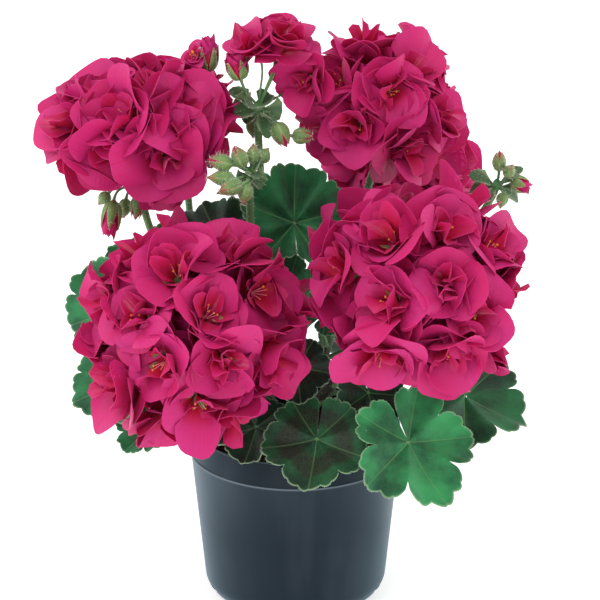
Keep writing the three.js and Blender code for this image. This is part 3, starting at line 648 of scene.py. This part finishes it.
for number, (place, face, tip, width, cut, origin, bright, zone) in enumerate(LEAVES, 1):
    folded = FOLDED_LEAVES.get(number, PLAIN_LEAF)
    middle, marks = leaf_blade(place, face, tip, width, cut, number, *folded)
    points, faces = thin_blades(middle, LEAF_THICKNESS)
    # Each leaf's painted light, from painted shade to lit, and its zone strength, raised as
    # painted shade where it lies in shade.
    marks.update(bright=bright, zone=zone)
    u, _, w = axes_along(face, tip)
    start, end = on_shoot(*origin), mm(place) + 0.0005 * u - 0.0006 * w
    gap = np.linalg.norm(end - start)
    level = unit((end - start) * [1, 1, 0])
    first = start + 0.3 * gap * level + [0, 0, 0.12 * gap]
    last = end - min(0.012, 0.25 * gap) * u - min(0.014, 0.28 * gap) * w
    corners, radii = [start, first, last, end], flared(PETIOLE_RADIUS, 26, 0.5, 0.25, 20)
    petiole = hairy_stalks(corners, radii, 10, 150, 0.0013, 40 + number, number=1)
    patches = [(points, faces, marks, 0), *petiole]
    rim = middle[-1]
    outward = unit(rim - mm(place) + 0.002 * w)
    patches.append(fuzz(rim, outward, 260, 0.0007, 80 + number))
    node = f"leaf_{number:02d}"
    make_piece(f"blade_{number:02d}", patches, [leaf_down, stalk_skin, hair_white], [node])


# The flower heads: round umbels of semi-double florets. Broad thin petals stand round each
# throat in two whorls with small twisted ones inside, bright rose with a scarlet claw.
def petal_blades(
    foot, way, up, length, width, tilt, bend, cup, twist, ruffle, phase, rows, columns
):
    """Middle surfaces of petals, one for each entry. The midline is an arc that leaves the
    foot at the tilt from the floret's axis and leans over by the bend. The outline is narrow
    at the claw, widens as a sine, and ends in half an ellipse. Across it the petal cups as a
    square of the distance from the midline, twists evenly along its length, and its edge
    waves by sines that grow with the square of the distance from the claw."""
    foot, way, up = (np.asarray(value, float)[:, None, None] for value in (foot, way, up))
    length, width, tilt, bend, cup, twist, ruffle, phase = (
        np.broadcast_to(value, len(foot)).reshape(-1, 1, 1)
        for value in (length, width, tilt, bend, cup, twist, ruffle, phase)
    )
    out = np.linspace(0, 1, rows)[None, :, None]**0.9
    swing = np.radians(np.linspace(-90, 90, columns))[None, None]
    reach = out * (1 - 0.5 * (1 - np.cos(swing)) * out)
    reach = reach * (1 + 0.03 * out * np.sin(4 * swing + phase))
    aside = width * np.sin(swing) * (0.12 + 0.88 * np.sin(np.pi / 2 * out**1.05))
    angle = tilt + bend * reach
    rise = length / bend * (np.sin(angle) - np.sin(tilt))
    spread = length / bend * (np.cos(tilt) - np.cos(angle))
    lift = cup * aside**2 / width * (0.4 + 0.6 * out)
    lift = lift + ruffle * out**2 * np.sin(2.6 * swing + 2 * phase) * length
    lift = lift + 0.6 * ruffle * np.abs(np.sin(swing))**3 * np.sin(5 * out + phase) * length
    rise, spread, aside, lift = (value[..., None] for value in (rise, spread, aside, lift))
    ahead, side = fan(angle, up, way), np.cross(way, up)
    inner, turn = np.cross(side, ahead), twist * reach
    across, inner = fan(turn, side, inner), fan(turn, inner, -side)
    middle = foot + rise * up + spread * way + aside * across + lift * inner
    return middle, out, np.sin(swing)


def petal_patch(petals, thick, seed, number, **shape):
    """Closed petals with the values that their colour follows."""
    middle, claw, beside = petal_blades(**petals, **shape)
    points, faces = thin_blades(middle, thick)
    tone = default_rng(seed).uniform(0, 1, (len(middle), 1, 1))
    return points, faces, {"claw": claw, "beside": on_both(beside), "tone": tone}, number


def seeded_random(seed):
    """The same stream of chance numbers from 0 to 1 that placed the florets of the solids."""
    state = seed
    while True:
        state = (state * 1664525 + 1013904223) % 4294967296
        yield state / 4294967296


FLORET_SIZE = 22


def floret_places(centre, radii, axis, count, spread, seed):
    """Where each floret sits and looks: spread evenly round the umbel's axis by the golden
    angle, then moved by chance. Gives places, faces, turns and sizes."""
    chance = seeded_random(seed)
    u, v, w = axes_along(axis)
    centre, radii = np.array(centre, float), np.array(radii, float)
    lowest = math.cos(math.radians(spread))
    rows = []
    for i in range(count):
        c = 1 - (i + 0.5) / count * (1 - lowest)
        s = math.sqrt(1 - c * c)
        turn = i * math.pi * (3 - math.sqrt(5)) + 0.35 * (next(chance) - 0.5)
        way = s * math.cos(turn) * u + s * math.sin(turn) * v + c * w
        place = centre + way * radii * (0.92 - 0.1 * next(chance))
        lean = np.array([next(chance) - 0.5 for _ in range(3)])
        face = unit(unit(way / radii) + 0.4 * lean)
        roll, size = 2 * math.pi * next(chance), FLORET_SIZE * (0.92 + 0.16 * next(chance))
        rows.append([*place, *face, roll, size])
    return np.array(rows)


def whorl(florets, count, turn, seed):
    """One ring of petals in every floret: the floret's numbers repeated for each petal, the
    way each one points, and the axis."""
    chance = default_rng(seed)
    many = np.repeat(florets, count, 0)
    place, up, roll, size = many[:, :3] * 0.001, many[:, 3:6], many[:, 6], many[:, 7] * 0.001
    guide = np.where(np.abs(up[:, 2:]) < 0.9, [[0, 0, 1.0]], [[1.0, 0, 0]])
    u = unit(guide - np.sum(guide * up, 1, keepdims=True) * up)
    v = np.cross(up, u)
    angle = roll + 2 * np.pi * (np.tile(np.arange(count), len(florets)) + turn) / count
    angle = angle + chance.normal(0, 0.28, len(many))
    return place, fan(angle, u, v), up, size, chance


PETAL_THICKNESS = 0.0003  # metres
OPEN_RINGS = [
    # petals | turn | tip out | tip up | half width | bend | twist | ruffle | rows | columns
    [5, 0, 1.1, 0.0, 0.62, 0.8, 0.18, 0.055, 6, 13],
    [5, 0.5, 0.9, 0.16, 0.56, 0.8, 0.3, 0.07, 6, 12],
    [7, 0.25, 0.46, 0.28, 0.26, 0.6, 1.3, 0.13, 5, 7],
]
HIDDEN_RINGS = [
    [5, 0, 1.15, 0.0, 0.64, 0.8, 0.2, 0.05, 5, 8],
    [5, 0.5, 0.75, 0.35, 0.52, 0.7, 0.4, 0.08, 4, 6],
]


def floret_patches(florets, seed, rings=OPEN_RINGS):
    """All petals of an umbel's florets, ring by ring, and the stamens of the open ones. Chance
    leans each floret and moves it in or out."""
    patches = []
    florets = florets.copy()
    chance = default_rng(seed)
    florets[:, 3:6] = unit(florets[:, 3:6] + 0.2 * chance.normal(size=(len(florets), 3)))
    florets[:, :3] += florets[:, 3:6] * chance.uniform(-2.6, 2.6, (len(florets), 1))
    for step, ring in enumerate(rings):
        count, turn, far, high, broad, bend, twist, ruffle, rows, columns = ring
        place, way, up, size, chance = whorl(florets, count, turn, seed + 10 * step)
        many = len(place)
        closing = np.repeat(chance.uniform(-0.22, 0.28, len(florets)), count)
        foot = place - up * (size * (0.5 + 0.7 * closing))[:, None] + way * size[:, None] * 0.05
        far = size * (far - 0.4 * closing) * chance.uniform(0.79, 1.02, many)
        high = size * (0.4 + high + closing + chance.normal(0, 0.27, many))
        chord, bent = np.hypot(far, high), bend * chance.uniform(0.3, 1.5, many)
        petals = dict(
            foot=foot, way=way, up=up, length=chord * (1 + bent**2 / 24),
            width=size * broad * chance.uniform(0.85, 1.15, many),
            tilt=np.arctan2(far, high) - bent / 2, bend=bent,
            cup=chance.normal(0.12, 0.26, many), twist=chance.normal(0, twist, many),
            ruffle=ruffle * chance.uniform(0.4, 1.3, many), phase=chance.uniform(0, 6.28, many),
        )
        patch = petal_patch(petals, PETAL_THICKNESS, seed + step, 0, rows=rows, columns=columns)
        patch[2]["claw"] *= 0.5 if step == 2 else 1
        patches.append(patch)
    if rings is HIDDEN_RINGS:
        return patches
    place, way, up, size, chance = whorl(florets, 4, 0, seed + 77)
    start = place - up * size[:, None] * 0.4
    lean = chance.uniform(0.03, 0.18, (len(place), 1))
    end = start + size[:, None] * (chance.uniform(0.3, 0.5, (len(place), 1)) * up + lean * way)
    steps = np.linspace(0, 1, 4)[None, :, None]
    threads, faces, _ = tubes(start[:, None] * (1 - steps) + end[:, None] * steps, 0.00022, 3)
    patches.append((threads, faces, {}, 1))
    patches.append(lumps(end, chance.uniform(0.0005, 0.0008, len(end)), seed, 2))
    return patches


rose_petal, tree, surface = start_finish(
    "rose_petal", Roughness=0.5, Specular_IOR_Level=0.2, Sheen_Weight=0.06, Sheen_Roughness=0.5,
    Sheen_Tint=(1, 0.45, 0.7, 1), Subsurface_Weight=0.2, Subsurface_Scale=0.002,
    Subsurface_Radius=(1, 0.12, 0.3),
)
claw, beside, tone = mark(tree, "claw"), mark(tree, "beside"), mark(tree, "tone")
ribs = [times(value, rate) for value, rate in ((beside, 16.0), (claw, 2.0), (tone, 30.0))]
vein = noise(tree, 1.0, 3.0, add(tree, "CombineXYZ", dict(enumerate(ribs))).outputs[0])
ragged = reckon("MULTIPLY_ADD", vein, 0.25, claw)
rose = mixed(stepped(ragged, 0.3, 0.75), tint(182, 12, 42), tint(196, 38, 113))
rose = tinged(rose, (192, 20, 84), tone, 0.35)
cloud = stepped(noise(tree, 60.0, 3.0), 0.45, 0.75)
rose = tinged(rose, (184, 46, 124), cloud, 0.4)
rose = tinged(rose, (176, 12, 62), stepped(vein, 0.55, 0.75), 0.3)
# Some petals have a pale streak up the middle of the claw, broken by the veins.
streak = inverse(stepped(reckon("ABSOLUTE", beside), 0.1, 0.6))
for part in (stepped(claw, 0.1, 0.2), inverse(stepped(ragged, 0.35, 0.72)),
             stepped(tone, 0.65, 0.85), stepped(vein, 0.4, 0.62)):
    streak = times(streak, part)
rose = tinged(rose, (246, 160, 190), streak, 0.6)
dress(surface, rose, vein, 0.35, 0.0008)
stamen_thread = mottled_finish(
    "stamen_thread", 300.0, tint(236, 120, 150), tint(252, 214, 214), Roughness=0.5,
)
anther = mottled_finish(
    "orange_anther", 700.0, tint(196, 84, 30), tint(240, 160, 70), Roughness=0.8,
)
FLORET_FINISHES = [rose_petal, stamen_thread, anther]

sepal_skin, tree, surface = start_finish("sepal_green", Roughness=0.5, Sheen_Weight=0.3)
cloud, leafy, claw = noise(tree, 140.0, 4.0), mark(tree, "leafy"), mark(tree, "claw")
edge, bud = reckon("ABSOLUTE", mark(tree, "beside")), inverse(leafy)
green = mixed(cloud, tint(68, 108, 54), tint(126, 156, 84))
green = tinged(green, (34, 78, 52), leafy, 0.65)
ripe = times(stepped(claw, 0.65, 1.0), bud)
green = tinged(green, (170, 92, 66), ripe, 0.6)
green = tinged(green, (176, 196, 140), stepped(edge, 0.6, 0.9), 0.35)
seam = times(bud, stepped(claw, 0.35, 0.7))
green = tinged(green, (178, 44, 60), stepped(edge, 0.8, 0.95), seam)
dress(surface, green, cloud, 0.4, 0.0005)
GREEN_FINISHES = [stalk_skin, sepal_skin, hair_white, rose_petal]


PEDUNCLE_RADIUS = 2.1
SEPAL_THICKNESS = 0.0004  # metres
BRACT_THICKNESS = 0.0005  # metres


def peduncle_patches(origin, bends, end, seed, top=1.0):
    """The long bare stalk of an umbel, hairy all along, from its shoot to the junction."""
    corners = [on_shoot(*origin), *mm(bends), mm(end)]
    radii = flared(PEDUNCLE_RADIUS, 60, 0.35, 0.2, 25)
    return hairy_stalks(corners, radii, 14, 700, 0.0016, seed, top)


def calyx_patches(florets, junction, seed):
    """Thin pedicels that fan out from a junction, each with five sepals under its floret."""
    place, up, size = florets[:, :3] * 0.001, florets[:, 3:6], florets[:, 7:] * 0.001
    start, end = mm(junction), place - up * size * 0.5
    gap = np.linalg.norm(end - start, axis=1, keepdims=True)
    corners = [start + 0 * end, start + 0.35 * (end - start), end - 0.35 * gap * up, end]
    radii = mm([0.9, 0.7, 0.6, 0.6, 0.6, 0.6, 0.65, 0.8, 1.2])
    patches = hairy_stalks(corners, radii, 6, 16 * len(florets), 0.0012, seed)
    place, way, up, size, chance = whorl(florets, 5, 0.5, seed)
    petals = dict(
        foot=place - up * size[:, None] * 0.5 + way * 0.0008, way=way, up=up,
        length=size * 0.42, width=size * 0.075, tilt=chance.uniform(0.3, 0.7, len(place)),
        bend=chance.uniform(0.2, 0.9, len(place)), cup=0.3, twist=0.0, ruffle=0.0, phase=0.0,
    )
    patches.append(petal_patch(petals, SEPAL_THICKNESS, seed, 1, rows=5, columns=4))
    return patches


def bulge(share, rise, opened):
    """How full a bud is at a share of its length: a sine with its top near the base, raised to
    a power that leaves a closed bud pointed and an open one blunt."""
    power = 0.7 + (0.55 - 0.6 * opened) * rise
    return np.sin(np.pi * share**(0.8 - 0.12 * opened))**power


def bud_patches(junction, base, tip, radius, opened, seed):
    """One bud on its pedicel. The rolled petals are a spindle turned about the line from base
    to tip, with spiral folds; five sepals lie on it as blades that follow its bulge."""
    junction, base, tip, radius = mm(junction), mm(base), mm(tip), radius * 0.001
    steep = abs(unit(tip - base)[2]) >= 0.8
    u, v, w = axes_along(tip - base, None if steep else [0.2, 0.3, 0.9])
    lead, length = base - junction, np.linalg.norm(tip - base)
    gap = np.linalg.norm(lead)
    corners = [junction, junction + 0.45 * lead, base - 0.5 * gap * w, base + 0.0005 * w]
    patches = hairy_stalks(corners, flared(0.75, 14, 0, 0.4, 18), 8, 45, 0.0015, seed)
    rise = np.linspace(0.01, 0.985, 12)[:, None]
    angle = np.linspace(0, 2 * np.pi, 14, endpoint=False)[None]
    swirl = 1 + (0.03 + 0.09 * opened) * rise * np.sin(3 * angle + 5 * rise)
    girth = radius * (0.88 + 0.05 * opened) * bulge(rise, rise, opened) * swirl
    spindle = base + rise[..., None] * length * w + girth[..., None] * fan(angle, u, v)
    marks = {"claw": 0.15 + 0.4 * rise, "beside": np.sin(3 * angle)}
    patches.append((spindle, closed_faces(1, 12, 14), marks, 3))
    rise = np.linspace(0, 1, 9)[None, :, None]
    beside = np.linspace(-1, 1, 7)[None, None]
    reach = 1.02 - 0.3 * opened
    full = bulge(np.clip(rise * reach, 0, 0.995), rise, opened)
    half = math.radians(41 - 9 * opened) * (1 - rise**(6 - 4.5 * opened))**0.8 + 0.02
    turn = np.arange(5)[:, None, None] * 2 * np.pi / 5 + 0.3 + half * beside
    arch = 1 + 0.12 * np.cos(np.pi / 2 * beside)
    girth = radius * (0.93 + 0.05 * opened) * full * arch + 0.0002
    girth = girth + radius * 0.35 * opened * rise**3
    around = fan(turn, u, v)
    ahead = (rise * reach * length)[..., None] * w
    middle = base + ahead + girth[..., None] * around
    points, faces = thin_blades(middle, 0.0003)
    patches.append((points, faces, {"claw": rise, "beside": on_both(beside)}, 1))
    patches.append(fuzz(middle, around, 110, 0.003, seed + 1))
    if opened > 0.5:
        turn = np.arange(4) * np.pi / 2 + 0.4
        way = fan(turn, u, v)
        petals = dict(
            foot=base + 0.3 * length * w + 0.5 * radius * way, way=way,
            up=np.broadcast_to(w, way.shape), length=length * np.array([0.75, 0.62, 0.7, 0.6]),
            width=radius * 0.85, tilt=0.35, bend=-0.5, cup=1.0, twist=0.4, ruffle=0.03, phase=turn,
        )
        patches.append(petal_patch(petals, PETAL_THICKNESS, seed, 3, rows=6, columns=7))
    return patches


def bract_patches(junction, bracts, seed):
    """Leafy hollow scales round a junction, each from near it to its own pointed tip."""
    junction, tips = mm(junction), mm([tip for tip, width in bracts])
    foot = junction + 0.09 * (tips - junction)
    way = unit(tips - foot)
    up = unit(np.cross(way, np.cross([0.1, -0.6, 0.75], way)) + 1e-6)
    length = np.linalg.norm(tips - foot, axis=1)
    petals = dict(
        foot=foot - 0.1 * length[:, None] * up, way=way, up=up, length=length * 1.04,
        width=mm([width * 0.42 for tip, width in bracts]), tilt=1.2, bend=0.55, cup=0.9, twist=0.1,
        ruffle=0.05, phase=np.arange(len(tips)) * 1.7,
    )
    patch = petal_patch(petals, BRACT_THICKNESS, seed, 1, rows=7, columns=7)
    patch[2]["leafy"] = 1.0
    out = unit(patch[0] - junction)
    return [patch, fuzz(patch[0], out, 90 * len(tips), 0.0017, seed)]


# In full flower: the centre and radii of the ball of petals, the way it faces, its florets, how
# far round they reach, seed, and its stalk with the shoot, two bends and end.
UMBELS = {
    "low_left": [[-55, -60, 181], [56, 56, 60], [-0.3, -0.62, 0.72], 22, 122, 101,
        ("front_left", 0.9), [[-28, -12, 160], [-40, -30, 165]], [-54, -54, 176]],
    "low_right": [[67, -53, 204], [58, 55, 56], [0.4, -0.55, 0.74], 20, 122, 202,
        ("front_right", 0.9), [[33, -10, 168], [46, -28, 180]], [63, -48, 200]],
    "top_left": [[-85, 12, 278], [49.5, 42, 35], [-0.3, -0.25, 0.92], 14, 108, 303,
        ("left", 0.93), [[-50, 12, 182], [-93, 4, 198]], [-87, 11, 266]],
    "top_right": [[48.5, 34, 281], [46, 42, 43], [0.2, -0.25, 0.95], 14, 115, 404,
        ("right", 0.93), [[27, 26, 205], [46, 36, 235]], [50, 34, 277]],
    "back_right": [[62, 114, 222], [39, 38, 36], [0.35, 0.6, 0.75], 7, 118, 505,
        ("right", 0.7), [[30, 42, 174], [44, 84, 180]], [60, 111, 218]],
    "back_left": [[-68, 100, 146], [39, 38, 36], [-0.5, 0.6, 0.66], 7, 118, 606,
        ("back", 0.35), [[-8, 40, 129], [-40, 70, 132]], [-66, 97, 144]],
}
FLORET_SCALES = {"top_left": 1.18, "low_left": 1.12, "low_right": 1.1}
PETAL_SHARP = 68
STALK_SHARP = 50
TOP_LEFT_JUNCTION = [-88, 9, 248]
# Each bud: the base and the tip of its spindle, its radius, and how far it has opened.
TOP_LEFT_BUDS = [
    [[-102, 0, 240], [-105.5, -4, 219], 5, 0.9], [[-96, 12, 237], [-98, 13, 225], 3.6, 0.1],
    [[-88, 3, 242], [-90.5, 2, 227], 3.8, 0.5], [[-105, 4, 243], [-111, 4, 236], 3.3, 0],
]
# Two florets and a bud that stand apart: the florets' place, face, turn and size, and the bud
# with a junction of its own.
HANGING_FLORET = [-75.5, -8, 249, 0.25, -0.85, -0.3, 0.4, 15]
OPENING_FLORET = [-56, 18, 319, -0.7, -0.35, 0.6, 0.9, 9]
STANDING_BUD = [[-55, 17, 296], [-48.4, 20, 309], [-48.7, 20, 330], 5, 1.0]

for name, (centre, radii, axis, count, spread, seed, origin, bends, end) in UMBELS.items():
    florets = floret_places(centre, radii, axis, count, spread, seed)
    florets[:, 7] *= FLORET_SCALES.get(name, 1)
    deeper = np.array(radii) * 0.7
    beneath = floret_places(centre, deeper, axis, int(count * 0.9), spread + 18, seed + 5)
    junction, top = (TOP_LEFT_JUNCTION, 0.9) if name == "top_left" else (end, 1.0)
    green = peduncle_patches(origin, bends, end, seed, top)
    if name == "top_left":
        hanging = np.array([HANGING_FLORET, OPENING_FLORET], float)
        hanging[:, 3:6] = unit(hanging[:, 3:6])
        florets = np.concatenate([florets, hanging])
        for number, bud in enumerate(TOP_LEFT_BUDS):
            green += bud_patches(junction, *bud, seed + number)
        green += bud_patches(*STANDING_BUD, seed + 9)
    green += calyx_patches(florets, junction, seed)
    petals = floret_patches(florets, seed) + floret_patches(beneath, seed + 500, HIDDEN_RINGS)
    make_piece(f"florets_{name}", petals, FLORET_FINISHES, [f"petals_{name}"], PETAL_SHARP)
    make_piece(f"pedicels_{name}", green, GREEN_FINISHES, [f"stalk_{name}"], STALK_SHARP)


# The half-open umbel: a few small florets and buds on thin pedicels over a hairy junction
# with broad bracts, at the top of the tallest peduncle.
HALF_OPEN_END = [-20.6, 10, 291]
HALF_OPEN_FLORETS = np.array([
    [-25, 8, 328, -0.5, -0.3, 0.8, 0.3, 17],
    [-5, 8, 334, 0.2, -0.1, 0.97, 1.1, 19],
    [4, 6, 306, -0.5, -0.72, -0.1, 0.7, 17],
    [-12, 22, 326, -0.1, 0.8, 0.6, 0.2, 17],
])
HALF_OPEN_FLORETS[:, 3:6] = unit(HALF_OPEN_FLORETS[:, 3:6])
HALF_OPEN_BUDS = [
    [[-30.1, 5, 308.2], [-34.89, 3, 325.9], 5.5, 1.0],
    [[-10.9, 3, 284.6], [-4.6, 0, 270.6], 4.8, 0.45],
    [[-1.9, 5, 276], [10.4, 2, 276.6], 4.2, 0.3], [[-23, 19, 282], [-24, 22, 270], 4, 0],
]
# Each bract: its tip and its width.
HALF_OPEN_BRACTS = [
    [[-34, 6, 289], 20], [[-9, 5, 286], 18], [[-28, -3, 296], 14], [[-14, 17, 297], 13],
    [[-15, 1, 276], 13], [[-29, 10, 283], 14], [[-37, 13, 300], 11],
]


def cluster_patches(origin, bends, end, knob, buds, bracts, seeds):
    """A peduncle with the knob that it ends in, the buds that hang from it and its bracts."""
    stalk_seed, knob_seed, bud_seeds, bract_seed = seeds
    patches = peduncle_patches(origin, bends, end, stalk_seed)
    patches.append(lumps(mm([end]), mm([knob]), knob_seed))
    for seed, bud in zip(bud_seeds, buds):
        patches += bud_patches(end, *bud, seed)
    return patches + bract_patches(end, bracts, bract_seed)


green = cluster_patches(
    ("back", 0.62), [[-12, 30, 190], [-22, 14, 240]], HALF_OPEN_END, 4.2, HALF_OPEN_BUDS,
    HALF_OPEN_BRACTS, (71, 3, range(710, 722, 3), 72),
)
green += calyx_patches(HALF_OPEN_FLORETS, HALF_OPEN_END, 73)
petals = floret_patches(HALF_OPEN_FLORETS, 74)
make_piece("florets_half_open", petals, FLORET_FINISHES, ["petals_half_open"], PETAL_SHARP)
make_piece("pedicels_half_open", green, GREEN_FINISHES, ["stalk_half_open"], STALK_SHARP)


# The bud clusters: young umbels whose buds are still closed in hairy sepals, pale green with
# a red seam where the petals begin to show. Each is its shoot, two bends, end, buds and bracts.
BUD_CLUSTERS = {
    "front": [("crown", 0.98), [[-16, 0, 165], [-28, -6, 215]], [-25, -20, 263], [
        [[-34, -28, 269], [-48, -30, 273], 4.3, 0.3],
        [[-28, -26, 267], [-33.5, -28, 280], 4.3, 0.2],
        [[-33, -30, 262], [-48, -35, 264], 4.1, 0], [[-29, -33, 260], [-41.5, -41, 258], 4.5, 0.1],
        [[-30, -24, 257], [-43, -26, 252], 3.8, 0], [[-26, -30, 259], [-29, -36, 249], 4, 0],
        [[-23, -21, 268], [-23, -21, 279], 3.6, 0], [[-20, -12, 266], [-15, -6, 272], 4, 0],
    ], [
        [[-19, -22, 272], 12], [[-19, -22, 254], 11], [[-31, -24, 268], 13],
        [[-30, -27, 257], 12], [[-20, -30, 261], 12],
    ]],
    "right": [("right", 0.85), [[50, 36, 180], [104, 40, 195]], [116, 35, 238], [
        [[117, 35, 246], [117, 34, 259], 3.6, 0.3], [[124, 33, 241], [135, 30, 237], 4.4, 0.8],
        [[121, 31, 244], [124, 28, 252], 3.4, 0], [[120, 33, 234], [118, 31, 225], 3.2, 0],
    ], [
        [[100, 33, 244], 11], [[101, 36, 233], 10], [[131, 36, 247], 10],
        [[135, 34, 234], 9], [[128, 38, 227], 11], [[109, 30, 229], 8],
    ]],
    "back": [("left", 0.8), [[-58, 46, 182], [-68, 74, 212]], [-62, 78, 252], [
        [[-60, 84, 258], [-58, 88, 269], 4.4, 0.2], [[-66, 82, 258], [-71, 86, 268], 4.4, 0.3],
        [[-70, 77, 253], [-81, 79, 256], 4.2, 0], [[-54, 80, 254], [-44, 83, 258], 4, 0],
        [[-64, 87, 250], [-66, 98, 247], 4.2, 0.1],
    ], [[[-56, 72, 262], 9], [[-70, 72, 244], 9]]],
}
for index, (name, (origin, bends, end, buds, bracts)) in enumerate(BUD_CLUSTERS.items()):
    first = 810 + 20 * index
    seeds = (81 + index, index, range(first, first + len(buds)), 84 + index)
    green = cluster_patches(origin, bends, end, 3.4, buds, bracts, seeds)
    make_piece(f"cluster_{name}", green, GREEN_FINISHES, [f"buds_{name}"], STALK_SHARP)
